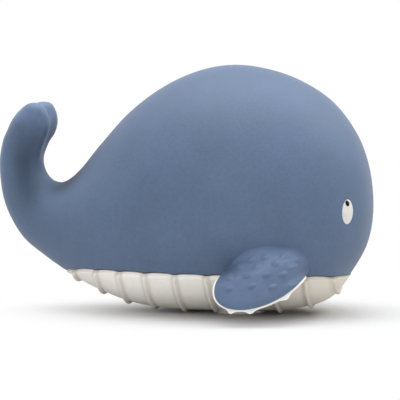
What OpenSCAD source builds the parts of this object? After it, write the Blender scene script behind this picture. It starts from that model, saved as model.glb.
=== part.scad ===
// Squeaky whale: a hollow rubber bath toy with a reed squeaker pressed into its belly.
// The origin is the middle of the footprint on the floor, +X is the head, +Y the animal's left side.

/* [Body] */
// Length from the back of the tail to the nose
body_length = 120; // [100:1:150]
// Height from the floor to the top of the back
body_height = 78.2; // [70:0.2:95]
// Width of the body across its flanks
body_width = 72; // [62:1:84]
// Thickness of the rubber wall
wall = 2.2; // [1.6:0.1:3]

/* [Belly] */
// Height of the colour line at the rear end of the belly
line_rear = 14.4; // [13.5:0.1:16]
// Height of the colour line at the middle of the belly
line_middle = 13.8; // [12:0.1:15]
// Height of the colour line at the front end of the belly
line_front = 13.4; // [12:0.1:14.5]
// How much lower the colour line runs at its two ends
line_drop = 1.3; // [0:0.1:1.6]
// Height of a belly rib above the skin
rib_height = 1.3; // [0.6:0.1:1.6]
// Width of a belly rib at its foot
rib_width = 1.8; // [1.2:0.1:2.4]

/* [Tail] */
// Depth of the notch between the two fluke lobes
notch_depth = 3; // [1:0.5:5]
// Width of the notch between the two fluke lobes
notch_width = 9; // [6:0.5:12]
// Depth of the hollow down the front of the flukes
cup_depth = 2; // [0:0.2:3]

/* [Flippers] */
// Length of a flipper along its slope
flipper_length = 29.8; // [26:0.2:34]
// Width of a flipper across its slope
flipper_width = 16.2; // [14:0.2:19]
// Thickness of the blue blade at its middle
blade_thickness = 3; // [2:0.1:4]
// Thickness of the blue blade at its edge
blade_edge = 0.9; // [0.6:0.1:1.4]
// Thickness of the white backing
backing_thickness = 1; // [0.7:0.1:1.4]
// Width of the white rim below the blue edge
rim_width = 0.8; // [0.5:0.1:1.4]
// Height of the middle of a flipper
flipper_middle = 14.9; // [13:0.1:18]
// Slope of a flipper, rising to the front
flipper_slope = 24; // [18:0.5:30]
// How far a flipper stands out for each millimetre below its root
flipper_flare = 0.4; // [0.1:0.05:0.5]
// Radius of a bump on a flipper
bump_radius = 1.3; // [0.9:0.1:1.6]

/* [Eyes] */
// Width of the white of an eye
eye_width = 5; // [4:0.1:7]
// Height of the white of an eye
eye_height = 7.7; // [6:0.1:9]
// Thickness of the white of an eye at its middle
eye_thickness = 0.9; // [0.6:0.1:1.2]
// Thickness of the white of an eye at its edge
eye_edge = 0.3; // [0.2:0.05:0.4]
// Diameter of a pupil
pupil_diameter = 1.9; // [1.2:0.1:2.6]
// Thickness of a pupil
pupil_thickness = 0.35; // [0.2:0.05:0.5]

/* [Squeaker] */
// Width of the rubber boss around the flange of the squeaker
boss_wall = 1.05; // [0.8:0.05:1.6]
// Height of the rubber boss
boss_height = 8; // [6.5:0.1:8.6]
// Outer radius of the cup
cup_radius = 5.8; // [5:0.1:6]
// Wall of the cup
cup_wall = 1; // [0.7:0.1:1.2]
// Height of the cup
cup_height = 10; // [9.6:0.1:12]
// How far the cup's flange stands out round the cup
flange_width = 1.1; // [0.8:0.05:1.3]
// Thickness of the cup's flange and floor
flange_thickness = 1.2; // [0.9:0.1:1.5]
// Height of the flange above the floor that the toy rests on
flange_recess = 0.5; // [0.3:0.1:1]
// Radius of the vent hole in the cup
vent_radius = 1.2; // [0.8:0.1:1.5]
// Thickness of the cap
cap_thickness = 1; // [0.7:0.1:1.3]
// Depth of the cap's skirt over the cup
cap_depth = 1.2; // [0.8:0.1:1.4]
// Radius of an air hole in the cap
cap_hole_radius = 0.7; // [0.4:0.1:0.9]
// Number of air holes in the cap
cap_holes = 5; // [3:1:6]

/* [Reed] */
// Height of the reed block
block_height = 7.2; // [6.8:0.1:7.6]
// Width of the air channel in the reed block
channel_width = 2; // [1.5:0.1:2.4]
// Depth of the air channel in the reed block
channel_depth = 1.6; // [1:0.1:2]
// Width of the reed tongue
tongue_width = 3.4; // [2.8:0.1:4]
// Length of the reed tongue
tongue_length = 5.2; // [4.4:0.1:5.6]
// Thickness of the reed tongue
tongue_thickness = 0.3; // [0.2:0.05:0.4]
// Height of the clamp at the foot of the reed
clamp_height = 1.8; // [1.4:0.1:2.2]

/* [Hidden] */

// Gap between two pieces that move on each other
running_gap = 0.35;
// Gap of a glued or pressed seam
bond_gap = 0.05;
// Gap between the reed at rest and its block or clamp
reed_gap = 0.4;
// How far a cut runs past what it cuts
overrun = 1;

// Body sections from the nose to the top of the flukes, each as
// [upper x, upper z, lower x, lower z, half width] in shares of length, height and half width.
section_shares = [
    [0.500, 0.435, 0.500, 0.435, 0.000],
    [0.488, 0.595, 0.488, 0.298, 0.306],
    [0.454, 0.731, 0.452, 0.187, 0.542],
    [0.392, 0.854, 0.392, 0.070, 0.764],
    [0.308, 0.938, 0.308, 0.025, 0.922],
    [0.217, 0.986, 0.217, 0.012, 0.990],
    [0.125, 1.000, 0.125, 0.011, 1.000],
    [0.033, 0.973, 0.033, 0.011, 0.961],
    [-0.058, 0.907, -0.058, 0.017, 0.883],
    [-0.142, 0.810, -0.142, 0.040, 0.778],
    [-0.217, 0.684, -0.217, 0.082, 0.656],
    [-0.275, 0.577, -0.292, 0.138, 0.517],
    [-0.320, 0.524, -0.375, 0.220, 0.389],
    [-0.353, 0.526, -0.439, 0.303, 0.300],
    [-0.375, 0.563, -0.485, 0.436, 0.239],
    [-0.380, 0.617, -0.499, 0.581, 0.211],
    [-0.367, 0.675, -0.491, 0.681, 0.222],
    [-0.352, 0.719, -0.475, 0.738, 0.285],
    [-0.347, 0.762, -0.461, 0.782, 0.310],
    [-0.352, 0.805, -0.443, 0.820, 0.285],
    [-0.367, 0.843, -0.418, 0.850, 0.215],
    [-0.392, 0.861, -0.392, 0.861, 0.000]
];
// Places of the belly ribs along the body, from the front, in shares of its length
rib_shares = [0.407, 0.340, 0.260, 0.178, 0.093, 0.009, -0.072, -0.143, -0.210, -0.279];
// Bumps on a flipper, each as [along, across] in shares of its half length and half width
bump_shares = [
    [-0.07, 0.72], [0.22, 0.61], [0.57, 0.36], [0.80, 0.02], [-0.34, 0.66],
    [0.01, 0.42], [0.37, 0.25], [0.65, -0.13], [-0.58, 0.45], [-0.23, 0.28],
    [0.13, 0.01], [0.43, -0.22], [-0.66, 0.10], [-0.21, -0.14], [0.16, -0.49]
];
// Rings of a flipper from its middle to its edge, in shares of its outline
ring_shares = [0, 0.36, 0.66, 0.88, 1];
// Place of the tail's bend along the body and up it, and the radius of the bend, in shares
bend_x_share = -0.4375;
bend_z_share = 0.6625;
bend_radius_share = 0.0685;
// Middle of a flipper along the body, and the squeaker's place, in shares of the body's length
flipper_x_share = 0.245;
squeaker_x_share = 0.146;
// Height of a flipper's root, in shares of its half width above its middle
root_share = 0.85;
// Softness of the change from flank to flare, in shares of a flipper's width
soft_share = 0.12;
// Place of the pupil above and behind the middle of the eye, in shares of the free half height and half width
pupil_up_share = 0.92;
pupil_back_share = 0.35;
// Part of a rib's width that is flat on top, and the sink of a bump into its blade in shares of its radius
rib_top_share = 0.3;
bump_sink_share = 0.4;
// Squareness of the front of the flukes, the spread of their hollow, and the dent in each side of the stalk
square_share = 0.55;
cup_spread_share = 0.42;
dent_share = 0.2;
// Ring of air holes in shares of the cup's radius
hole_ring_share = 0.5;

// Counts of facets
around = 36;
belly_around = 16;
flipper_around = 28;
bump_facets = 8;
eye_around = 20;
$fn = 64;

// Places on the way from the first section to the last one, in shares of that way
eye_way_share = 0.099;
hollow_end_share = 0.6;
tail_start_share = 0.7905;
notch_way_shares = [0.81, 0.95];
cup_way_shares = [0.66, 0.82];
dent_way_shares = [0.65, 0.73, 0.84, 0.93];
// Stretches of that way in which a crossing is looked for
front_way_shares = [0.167, 0.0714];
rear_way_shares = [0.476, 0.619];
bend_way_shares = [0.619, 0.8];
belly_way_shares = [0.0714, 0.5714];

// The same places as section numbers, the angle of the eye, and steps on the skin
last_section = len(section_shares) - 1;
eye_section = eye_way_share * last_section;
hollow_end = hollow_end_share * last_section;
tail_start = tail_start_share * last_section;
notch_way = notch_way_shares * last_section;
cup_way = cup_way_shares * last_section;
dent_way = dent_way_shares * last_section;
front_way = front_way_shares * last_section;
rear_way = rear_way_shares * last_section;
bend_way = bend_way_shares * last_section;
belly_way = belly_way_shares * last_section;
eye_angle = -6;
dent_angle = 15;
dent_spread_angle = 32;
t_step = 0.02;
angle_step = 1;
halvings = 26;

bend_x = bend_x_share * body_length;
bend_z = bend_z_share * body_height;
bend_radius = bend_radius_share * body_length;
squeaker_x = squeaker_x_share * body_length;
flipper_x = flipper_x_share * body_length;
half_length = flipper_length / 2;
half_width = flipper_width / 2;
root_z = flipper_middle + root_share * half_width;
soft = soft_share * flipper_width;
bore_radius = cup_radius + bond_gap;
flange_radius = cup_radius + flange_width;
boss_radius = flange_radius + bond_gap + boss_wall;
cup_inside = cup_radius - cup_wall;
cup_floor = flange_recess + flange_thickness;
cup_top = flange_recess + cup_height;
block_radius = cup_inside - bond_gap;
block_face = -tongue_thickness / 2 - reed_gap;
clamp_top = cup_floor + bond_gap + clamp_height;

// Curve through b and c at share u, with a and d before and after them
function curve(a, b, c, d, u) =
    (2 * b + (c - a) * u + (2 * a - 5 * b + 4 * c - d) * u * u + (3 * b - a - 3 * c + d) * u * u * u) / 2;
function ease(u) = let (v = min(1, max(0, u))) v * v * (3 - 2 * v);
function rise(t, a, b) = ease((t - a) / (b - a));
function bell(u) = exp(-u * u);
function unit(v) = v / norm(v);
function soft_up(v) = (v + sqrt(v * v + soft * soft)) / 2;

// One section in millimetres, and its mirror image past a closed end
function sized(i) = let (s = section_shares[i])
    [s[0] * body_length, s[1] * body_height, s[2] * body_length, s[3] * body_height, s[4] * body_width / 2];
function turned(s) = [s[2], s[3], s[0], s[1], -s[4]];
function section_row(i) =
    i < 0 ? turned(sized(-i)) : i > last_section ? turned(sized(2 * last_section - i)) : sized(i);
function section(t) = let (i = min(floor(t), last_section - 1))
    curve(section_row(i - 1), section_row(i), section_row(i + 1), section_row(i + 2), t - i);

// Point of the skin at section t and angle a: -90 is the belly, 0 the left side, 90 the back
function skin(t, a) = let (
        s = section(t),
        up = sin(a),
        cup = rise(t, cup_way[0], cup_way[1]),
        dent = rise(t, dent_way[0], dent_way[1]) - rise(t, dent_way[2], dent_way[3]),
        front = up > 0 ? pow(up, 1 - square_share * cup) : up,
        y = s[4] * cos(a) * (1 - dent_share * dent * bell((asin(up) - dent_angle) / dent_spread_angle)),
        hollow = cup_depth * cup * bell(cos(a) / cup_spread_share) * max(0, up),
        notch = notch_depth * rise(t, notch_way[0], notch_way[1]) * bell(2 * y / notch_width)
    ) [
        (s[0] + s[2]) / 2 + (s[0] - s[2]) / 2 * front - hollow,
        y,
        (s[1] + s[3]) / 2 + (s[1] - s[3]) / 2 * up - notch
    ];
function outward(t, a) = t < t_step ? [1, 0, 0] : unit(cross(
    skin(t, a + angle_step) - skin(t, a - angle_step), skin(t - t_step, a) - skin(t + t_step, a)));
function lifted(t, a, rise) = skin(t, a) + rise * outward(t, a);

// Height of the colour line at x, and the skin's height above it
line_rear_x = section_shares[11][2] * body_length;
line_front_x = section_shares[2][2] * body_length;
function line_z(x) = let (u = 2 * (x - line_rear_x) / (line_front_x - line_rear_x) - 1)
    line_middle + (line_front - line_rear) / 2 * u + ((line_front + line_rear) / 2 - line_middle) * u * u
    - line_drop * pow(u, 8);
function over_line(p, drop) = p[2] + drop - line_z(p[0]);

// Section number between a, below the colour line, and b, above it, where the skin's lowest point crosses it
function tip(a, b, drop, n = halvings) = let (m = (a + b) / 2)
    n == 0 ? m : over_line(skin(m, -90), drop) > 0 ? tip(a, m, drop, n - 1) : tip(m, b, drop, n - 1);
// Angle of the colour line on section t
function line_angle(t, drop, a = -90, b = 0, n = halvings) = let (m = (a + b) / 2)
    over_line(skin(t, -90), drop) >= 0 ? -90 : n == 0 ? m :
    over_line(skin(t, m), drop) < 0 ? line_angle(t, drop, m, b, n - 1) : line_angle(t, drop, a, m, n - 1);
// Section number where the lowest point of the skin is at x
function section_at(x, a = belly_way[0], b = belly_way[1], n = halvings) = let (m = (a + b) / 2)
    n == 0 ? m : section(m)[2] > x ? section_at(x, m, b, n - 1) : section_at(x, a, m, n - 1);
// Section number where the skin at angle a meets the cylinder of the tail's bend
function bend_section(a, radius, low = bend_way[0], high = bend_way[1], n = halvings) = let (
        m = (low + high) / 2, p = skin(m, a)
    ) n == 0 ? m : norm([p[0] - bend_x, p[2] - bend_z]) > radius ?
        bend_section(a, radius, m, high, n - 1) : bend_section(a, radius, low, m, n - 1);

front_tip = tip(front_way[0], front_way[1], 0);
rear_tip = tip(rear_way[0], rear_way[1], 0);

// Two triangles between four point numbers, without the ones that have no area
function four(a, b, c, d) = [
    for (f = [[a, c, b], [a, d, c]]) if (f[0] != f[1] && f[1] != f[2] && f[0] != f[2]) f
];
function flipped(faces) = [for (f = faces) [f[2], f[1], f[0]]];
// Triangles of a grid of points whose numbers begin at start
function grid(rows, columns, start) = [
    for (i = [0 : rows - 2], j = [0 : columns - 2]) let (a = start + i * columns + j)
    each four(a, a + columns, a + columns + 1, a + 1)
];
// Strip of triangles between two lists of point numbers
function strip(a, b) = [for (i = [0 : len(a) - 2]) each four(a[i], b[i], b[i + 1], a[i + 1])];

// The body: sections from the nose to the tail's bend
nose_steps = 7;
middle_steps = 24;
rear_steps = 8;
hollow_steps = 3;
function spread(u) = (u + (1 - cos(180 * u)) / 2) / 2;
body_sections = concat(
    [for (i = [0 : nose_steps - 1]) front_tip * i / nose_steps],
    [for (i = [0 : middle_steps]) front_tip + (rear_tip - front_tip) * spread(i / middle_steps)],
    [for (i = [1 : hollow_steps]) rear_tip + (hollow_end - rear_tip) * i / hollow_steps]
);
function body_angle(t, j) = let (a = line_angle(t, 0)) a + (180 - 2 * a) * j / around;
// Row i of the solid stub, where each line along the skin ends on the socket of the tail
function stub_point(i, j) = let (
        a = body_angle(hollow_end, j),
        end = bend_section(a, bend_radius + running_gap)
    ) skin(hollow_end + (end - hollow_end) * i / rear_steps, a);

module body_form() {
    hollow_rows = len(body_sections);
    outer_rows = hollow_rows + rear_steps;
    columns = around + 1;
    first_open = nose_steps;
    last_open = nose_steps + middle_steps;
    outer = [
        for (t = body_sections, j = [0 : around]) skin(t, body_angle(t, j)),
        for (i = [1 : rear_steps], j = [0 : around]) stub_point(i, j)
    ];
    inner = [for (t = body_sections, j = [0 : around]) lifted(t, body_angle(t, j), -wall)];
    inner_start = len(outer);
    middle = inner_start + len(inner);
    end = section(hollow_end);
    // The first row is one point, and a closed row ends on its own first point
    function number(i, j, start) = start + (i == 0 ? 0 : i * columns +
        (j == around && (i <= first_open || i >= last_open) ? 0 : j));
    function walls(rows, start) = [
        for (i = [0 : rows - 2], j = [0 : around - 1]) each four(
            number(i, j, start), number(i + 1, j, start),
            number(i + 1, j + 1, start), number(i, j + 1, start))
    ];
    function edge(j, start) = [for (i = [first_open : last_open]) number(i, j, start)];
    last = outer_rows - 1;
    socket = strip(
        [for (k = [0 : around / 2]) number(last, (around / 2 + k) % around, 0)],
        [for (k = [0 : around / 2]) number(last, around / 2 - k, 0)]
    );
    cap = [for (j = [0 : around - 1])
        [number(hollow_rows - 1, j, inner_start), middle, number(hollow_rows - 1, j + 1, inner_start)]];
    polyhedron(
        concat(outer, inner, [[(end[0] + end[2]) / 2, 0, (end[1] + end[3]) / 2]]),
        concat(
            walls(outer_rows, 0), flipped(walls(hollow_rows, inner_start)), cap, socket,
            strip(edge(0, 0), edge(0, inner_start)), strip(edge(around, inner_start), edge(around, 0))
        )
    );
}

// The belly: rows of [section, rise of the skin] from front to rear, with a ridge at each rib
belly_front = tip(front_way[0], front_way[1], bond_gap) + t_step;
belly_rear = tip(rear_way[0], rear_way[1], bond_gap) - t_step;
rib_places = [for (s = rib_shares) s * body_length];
rib_count = len(rib_places);
belly_rows = [
    [belly_front, 0],
    for (i = [0 : rib_count - 1]) each [
        [section_at(rib_places[i] + rib_width / 2), 0],
        [section_at(rib_places[i] + rib_width / 2 * rib_top_share), rib_height],
        [section_at(rib_places[i] - rib_width / 2 * rib_top_share), rib_height],
        [section_at(rib_places[i] - rib_width / 2), 0],
        if (i < rib_count - 1) [section_at((rib_places[i] + rib_places[i + 1]) / 2), 0]
    ],
    [(section_at(rib_places[rib_count - 1]) + belly_rear) / 2, 0],
    [belly_rear, 0]
];

module belly_form() {
    rows = len(belly_rows);
    columns = belly_around + 1;
    function angle(t, j) = let (a = line_angle(t, bond_gap)) a - (180 + 2 * a) * j / belly_around;
    function floored(p) = [p[0], p[1], max(0, p[2])];
    outer = [for (r = belly_rows, j = [0 : belly_around]) floored(lifted(r[0], angle(r[0], j), r[1]))];
    inner = [for (r = belly_rows, j = [0 : belly_around]) lifted(r[0], angle(r[0], j), -wall)];
    function along(j, start) = [for (i = [0 : rows - 1]) start + i * columns + j];
    function across(i, start) = [for (j = [0 : belly_around]) start + i * columns + j];
    n = len(outer);
    polyhedron(
        concat(outer, inner),
        concat(
            flipped(grid(rows, columns, 0)), grid(rows, columns, n),
            strip(along(0, n), along(0, 0)), strip(along(belly_around, 0), along(belly_around, n)),
            strip(across(0, 0), across(0, n)), strip(across(rows - 1, n), across(rows - 1, 0))
        )
    );
}

// The tail: rows from its rounded foot to where all lines reach one section, and sections from there up
foot_steps = 5;
tail_steps = 16;
tail_sections = [for (i = [0 : tail_steps]) tail_start + (last_section - tail_start) * i / tail_steps];
function foot_point(i, a) = let (foot = bend_section(a, bend_radius))
    skin(foot + (tail_start - foot) * i / foot_steps, a);

module tail_form() {
    rows = foot_steps + tail_steps + 1;
    function angle(j) = -90 + 360 * j / around;
    points = [
        for (i = [0 : foot_steps - 1], j = [0 : around - 1]) foot_point(i, angle(j)),
        for (t = tail_sections, j = [0 : around - 1]) skin(t, angle(j))
    ];
    function number(i, j) = i * around + (i == rows - 1 ? 0 : j % around);
    foot = strip(
        [for (k = [0 : around / 2]) number(0, around / 2 - k)],
        [for (k = [0 : around / 2]) number(0, around / 2 + k)]
    );
    polyhedron(points, concat(
        [for (i = [0 : rows - 2], j = [0 : around - 1]) each four(
            number(i, j), number(i + 1, j), number(i + 1, j + 1), number(i, j + 1))],
        foot
    ));
}

// Half width of the body at x and z, and the inner face of a flipper there
function flank(x, z) = let (s = section(section_at(x)), v = (2 * z - s[1] - s[3]) / (s[1] - s[3]))
    s[4] * sqrt(max(0, 1 - v * v));
function flipper_face(x, z) = let (below = soft_up(root_z - z))
    flank(x, z + below) + running_gap + flipper_flare * below;
// Point of a flipper at shares u along and v across it, raised from its inner face
function flipper_point(u, v, rise) = let (
        x = flipper_x + half_length * u * cos(flipper_slope) - half_width * v * sin(flipper_slope),
        z = flipper_middle + half_length * u * sin(flipper_slope) + half_width * v * cos(flipper_slope)
    ) [x, flipper_face(x, z) + rise, z];
function domed(r, edge, middle) = edge + (middle - edge) * sqrt(max(0, 1 - r * r));

// A plate from rings of points, first those of its inner face and then those of its outer one
module plate(points, rings, spokes) {
    face = rings * spokes;
    function number(i, j, side) = side * face + (i == 0 ? 0 : i * spokes + j % spokes);
    function rows(side) = [for (i = [0 : rings - 2], j = [0 : spokes - 1]) each four(
        number(i, j, side), number(i + 1, j, side), number(i + 1, j + 1, side), number(i, j + 1, side))];
    polyhedron(points, concat(
        rows(1), flipped(rows(0)),
        strip(
            [for (j = [0 : spokes]) number(rings - 1, j, 1)],
            [for (j = [0 : spokes]) number(rings - 1, j, 0)]
        )
    ));
}

// Angles run so that the points of a ring go round the same way on both faces
function ring_points(extra, low, high) = [
    for (side = [0, 1], r = ring_shares, j = [0 : flipper_around - 1]) let (
        a = -360 * j / flipper_around,
        u = r * (1 + extra(a) / half_length) * cos(a),
        v = r * (1 + extra(a) / half_width) * sin(a)
    ) flipper_point(u, v, side == 0 ? low : high(r))
];

module flipper_blade() {
    low = backing_thickness + bond_gap;
    plate(
        ring_points(function(a) 0, low, function(r) low + domed(r, blade_edge, blade_thickness)),
        len(ring_shares), flipper_around
    );
    for (b = bump_shares) {
        top = low + domed(norm(b), blade_edge, blade_thickness);
        translate(flipper_point(b[0], b[1], top - bump_sink_share * bump_radius))
            sphere(bump_radius, $fn = bump_facets);
    }
}

// The backing reaches past the blade below, where its rim shows
module flipper_backing() {
    rim = function(a) rim_width * ease((1 - 2 * sin(a)) / 2);
    plate(
        ring_points(rim, 0, function(r) backing_thickness),
        len(ring_shares), flipper_around
    );
}

// An eye lies on the skin: u and v are millimetres along the skin and up it from the eye's middle
eye_back = skin(eye_section + t_step, eye_angle);
eye_front = skin(eye_section - t_step, eye_angle);
eye_above = skin(eye_section, eye_angle + angle_step);
eye_below = skin(eye_section, eye_angle - angle_step);
along_size = norm(eye_back - eye_front) / (2 * t_step);
up_size = norm(eye_above - eye_below) / (2 * angle_step);
function eye_point(u, v, rise) = lifted(eye_section - u / along_size, eye_angle + v / up_size, rise);
function eye_rise(u, v) = eye_edge + (eye_thickness - eye_edge) *
    max(0, 1 - pow(2 * u / eye_width, 2) - pow(2 * v / eye_height, 2));
eye_ring_shares = [0, 0.5, 0.85, 1];

module eye_white() {
    plate([
        for (side = [0, 1], r = eye_ring_shares, j = [0 : eye_around - 1]) let (
            a = -360 * j / eye_around,
            u = r * eye_width / 2 * cos(a),
            v = r * eye_height / 2 * sin(a)
        ) eye_point(u, v, side == 0 ? bond_gap : bond_gap + eye_rise(u, v))
    ], len(eye_ring_shares), eye_around);
}

module pupil() {
    radius = pupil_diameter / 2;
    up = pupil_up_share * (eye_height / 2 - radius);
    back = pupil_back_share * (eye_width / 2 - radius);
    plate([
        for (side = [0, 1], r = eye_ring_shares, j = [0 : eye_around - 1]) let (
            a = -360 * j / eye_around,
            u = r * radius * cos(a) - back,
            v = up + r * radius * sin(a),
            low = 2 * bond_gap + eye_rise(u, v)
        ) eye_point(u, v, side == 0 ? low : low + pupil_thickness * (1 - r * r / 2))
    ], len(eye_ring_shares), eye_around);
}

module at_squeaker(z) { translate([squeaker_x, 0, z]) children(); }

module body_shell() { color("#6f84a6") body_form(); }

// The belly with its boss: a stepped bore takes the cup and its flange
module belly_shell() {
    color("#e6e3de") difference() {
        union() {
            belly_form();
            at_squeaker(0) cylinder(r = boss_radius, h = boss_height);
        }
        at_squeaker(-overrun) cylinder(r = bore_radius, h = boss_height + 2 * overrun);
        at_squeaker(-overrun) cylinder(r = flange_radius + bond_gap, h = cup_floor + bond_gap + overrun);
    }
}

module tail() { color("#6f84a6") tail_form(); }
module left_flipper() { color("#7a90b4") flipper_blade(); }
module right_flipper() { color("#7a90b4") mirror([0, 1, 0]) flipper_blade(); }
module left_flipper_backing() { color("#e6e3de") flipper_backing(); }
module right_flipper_backing() { color("#e6e3de") mirror([0, 1, 0]) flipper_backing(); }
module left_eye_white() { color("#f0efea") eye_white(); }
module right_eye_white() { color("#f0efea") mirror([0, 1, 0]) eye_white(); }
module left_pupil() { color("#15171b") pupil(); }
module right_pupil() { color("#15171b") mirror([0, 1, 0]) pupil(); }

// The cup: a flange below, a floor with the vent, and a tube up into the hollow
module squeaker_cup() {
    color("#d9d6cf") at_squeaker(flange_recess) difference() {
        union() {
            cylinder(r = flange_radius, h = flange_thickness);
            cylinder(r = cup_radius, h = cup_height);
        }
        translate([0, 0, flange_thickness]) cylinder(r = cup_inside, h = cup_height);
        translate([0, 0, -overrun]) cylinder(r = vent_radius, h = flange_thickness + 2 * overrun);
    }
}

// The reed block: a half-round post whose flat face carries the air channel
module reed_block() {
    color("#c9b27a") at_squeaker(cup_floor + bond_gap) difference() {
        cylinder(r = block_radius, h = block_height);
        translate([block_face, -cup_radius, -overrun])
            cube([2 * cup_radius, 2 * cup_radius, block_height + 2 * overrun]);
        translate([block_face - channel_depth, -channel_width / 2, -overrun])
            cube([channel_depth + overrun, channel_width, clamp_height + reed_gap + tongue_length]);
    }
}

module reed_tongue() {
    color("#c98f3a") at_squeaker(clamp_top + reed_gap)
        translate([-tongue_thickness / 2, -tongue_width / 2, 0])
        cube([tongue_thickness, tongue_width, tongue_length]);
}

// The clamp fills the cup's foot in front of the block
module reed_clamp() {
    color("#b9b4a8") at_squeaker(cup_floor + bond_gap) difference() {
        cylinder(r = block_radius, h = clamp_height);
        translate([block_face + bond_gap - 2 * cup_radius, -cup_radius, -overrun])
            cube([2 * cup_radius, 2 * cup_radius, clamp_height + 2 * overrun]);
    }
}

// The cap: a lid with a skirt round the top of the cup, and a ring of air holes
module squeaker_cap() {
    color("#d9d6cf") at_squeaker(cup_top + bond_gap - cap_depth) difference() {
        cylinder(r = cup_radius + bond_gap + cap_thickness, h = cap_depth + cap_thickness);
        translate([0, 0, -overrun]) cylinder(r = cup_radius + bond_gap, h = cap_depth + overrun);
        for (i = [0 : cap_holes - 1]) rotate(360 * i / cap_holes)
            translate([hole_ring_share * cup_radius, 0, 0])
            cylinder(r = cap_hole_radius, h = cap_depth + cap_thickness + overrun);
    }
}

body_shell();
belly_shell();
tail();
left_flipper();
right_flipper();
left_flipper_backing();
right_flipper_backing();
left_eye_white();
right_eye_white();
left_pupil();
right_pupil();
squeaker_cup();
reed_block();
reed_tongue();
reed_clamp();
squeaker_cap();
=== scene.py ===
"""Dresses the squeaky bath whale on its CAD frame: one smooth rubber skin from nose to flukes, a ribbed
white belly, bumpy flippers, painted eyes, the squeaker's plastics, and a pale studio."""

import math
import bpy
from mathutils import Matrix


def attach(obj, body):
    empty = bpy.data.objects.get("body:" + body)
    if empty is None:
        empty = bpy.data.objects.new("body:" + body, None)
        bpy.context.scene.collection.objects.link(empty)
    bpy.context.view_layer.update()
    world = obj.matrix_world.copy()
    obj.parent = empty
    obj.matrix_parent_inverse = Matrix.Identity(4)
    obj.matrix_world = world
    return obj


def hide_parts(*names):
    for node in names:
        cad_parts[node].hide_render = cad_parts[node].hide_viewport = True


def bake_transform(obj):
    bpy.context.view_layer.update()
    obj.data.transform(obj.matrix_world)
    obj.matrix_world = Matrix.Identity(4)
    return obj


bl_info = {
    "name": "Squeaky Whale",
    "version": (1, 0, 0),
    "blender": (4, 5, 0),
    "location": "3D View > Sidebar > Whale",
    "description": "Builds the looks of a rubber bath whale on its CAD frame",
    "category": "Object",
}

from contextlib import contextmanager

import bmesh
import bpy
import numpy as np
from bpy.props import FloatProperty, FloatVectorProperty, IntProperty, PointerProperty
from mathutils import Vector

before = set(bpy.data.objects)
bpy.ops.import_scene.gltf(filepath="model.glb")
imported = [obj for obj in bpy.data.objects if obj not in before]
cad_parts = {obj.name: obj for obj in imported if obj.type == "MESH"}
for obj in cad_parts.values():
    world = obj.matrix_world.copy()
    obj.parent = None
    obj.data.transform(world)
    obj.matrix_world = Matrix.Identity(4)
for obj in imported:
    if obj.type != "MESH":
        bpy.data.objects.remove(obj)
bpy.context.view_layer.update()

# Sections from the nose to the top of the flukes, as in the CAD source: upper x, upper z, lower x, lower z
# and half width, in shares of length, height and half width.
SECTION_SHARES = (
    (0.500, 0.435, 0.500, 0.435, 0.000),
    (0.488, 0.595, 0.488, 0.298, 0.306),
    (0.454, 0.731, 0.452, 0.187, 0.542),
    (0.392, 0.854, 0.392, 0.070, 0.764),
    (0.308, 0.938, 0.308, 0.025, 0.922),
    (0.217, 0.986, 0.217, 0.012, 0.990),
    (0.125, 1.000, 0.125, 0.011, 1.000),
    (0.033, 0.973, 0.033, 0.011, 0.961),
    (-0.058, 0.907, -0.058, 0.017, 0.883),
    (-0.142, 0.810, -0.142, 0.040, 0.778),
    (-0.217, 0.684, -0.217, 0.082, 0.656),
    (-0.275, 0.577, -0.292, 0.138, 0.517),
    (-0.320, 0.524, -0.375, 0.220, 0.389),
    (-0.353, 0.526, -0.439, 0.303, 0.300),
    (-0.375, 0.563, -0.485, 0.436, 0.239),
    (-0.380, 0.617, -0.499, 0.581, 0.211),
    (-0.367, 0.675, -0.491, 0.681, 0.222),
    (-0.352, 0.719, -0.475, 0.738, 0.285),
    (-0.347, 0.762, -0.461, 0.782, 0.310),
    (-0.352, 0.805, -0.443, 0.820, 0.285),
    (-0.367, 0.843, -0.418, 0.850, 0.215),
    (-0.392, 0.861, -0.392, 0.861, 0.000),
)
LAST = len(SECTION_SHARES) - 1
# Sections at the rear and front ends of the colour line, and how suddenly it drops there
LINE_REAR, LINE_FRONT, LINE_END_POWER = 11, 2, 8
# Pairs of sections between which the belly's front tip, its rear tip and any point of the flank lie
FRONT_TIP_SEARCH, REAR_TIP_SEARCH, FLANK_SEARCH = (3.5, 1.5), (10.0, 13.0), (1.5, 12.0)
# Half width of the line's dip at a rib, and how far the line is raised first, in shares of a dip
DIP_HALF_WIDTH, DIP_RAISE_SHARE = 0.0017, 0.35
# Belly ribs from the front, in shares of the length
RIB_SHARES = (0.407, 0.340, 0.260, 0.178, 0.093, 0.009, -0.072, -0.143, -0.210, -0.279)
# Places on the way from the first section to the last one, in shares of that way
NOTCH_WAY = (0.81, 0.95)
CUP_WAY = (0.66, 0.82)
DENT_WAY = (0.65, 0.73, 0.84, 0.93)
# Squareness of the front of the flukes, the spread of their hollow, and the dent in each side of the stalk
SQUARE_SHARE, CUP_SPREAD_SHARE, DENT_SHARE = 0.55, 0.42, 0.2
DENT_ANGLE, DENT_SPREAD = math.radians(15), math.radians(32)
# Smallest sine and smallest length that are worked with, and the distance at which points are merged
TINY_SINE, TINY_LENGTH, MERGE_GAP = 1e-9, 1e-12, 1e-7


def linear(code):
    """An sRGB hex code as linear red, green and blue."""
    parts = [int(code[i : i + 2], 16) / 255 for i in (1, 3, 5)]
    return tuple(c / 12.92 if c <= 0.04045 else ((c + 0.055) / 1.055) ** 2.4 for c in parts)


def length(name, description, default):
    return FloatProperty(
        name=name, description=description, default=default, min=0, unit="LENGTH", precision=5
    )


def angle(name, description, degrees):
    return FloatProperty(
        name=name, description=description, default=math.radians(degrees), subtype="ANGLE"
    )


def amount(name, description, default, least=0):
    return FloatProperty(name=name, description=description, default=default, min=least)


def power(name, description, default):
    return FloatProperty(name=name, description=description, default=default, min=0, unit="POWER")


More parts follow.
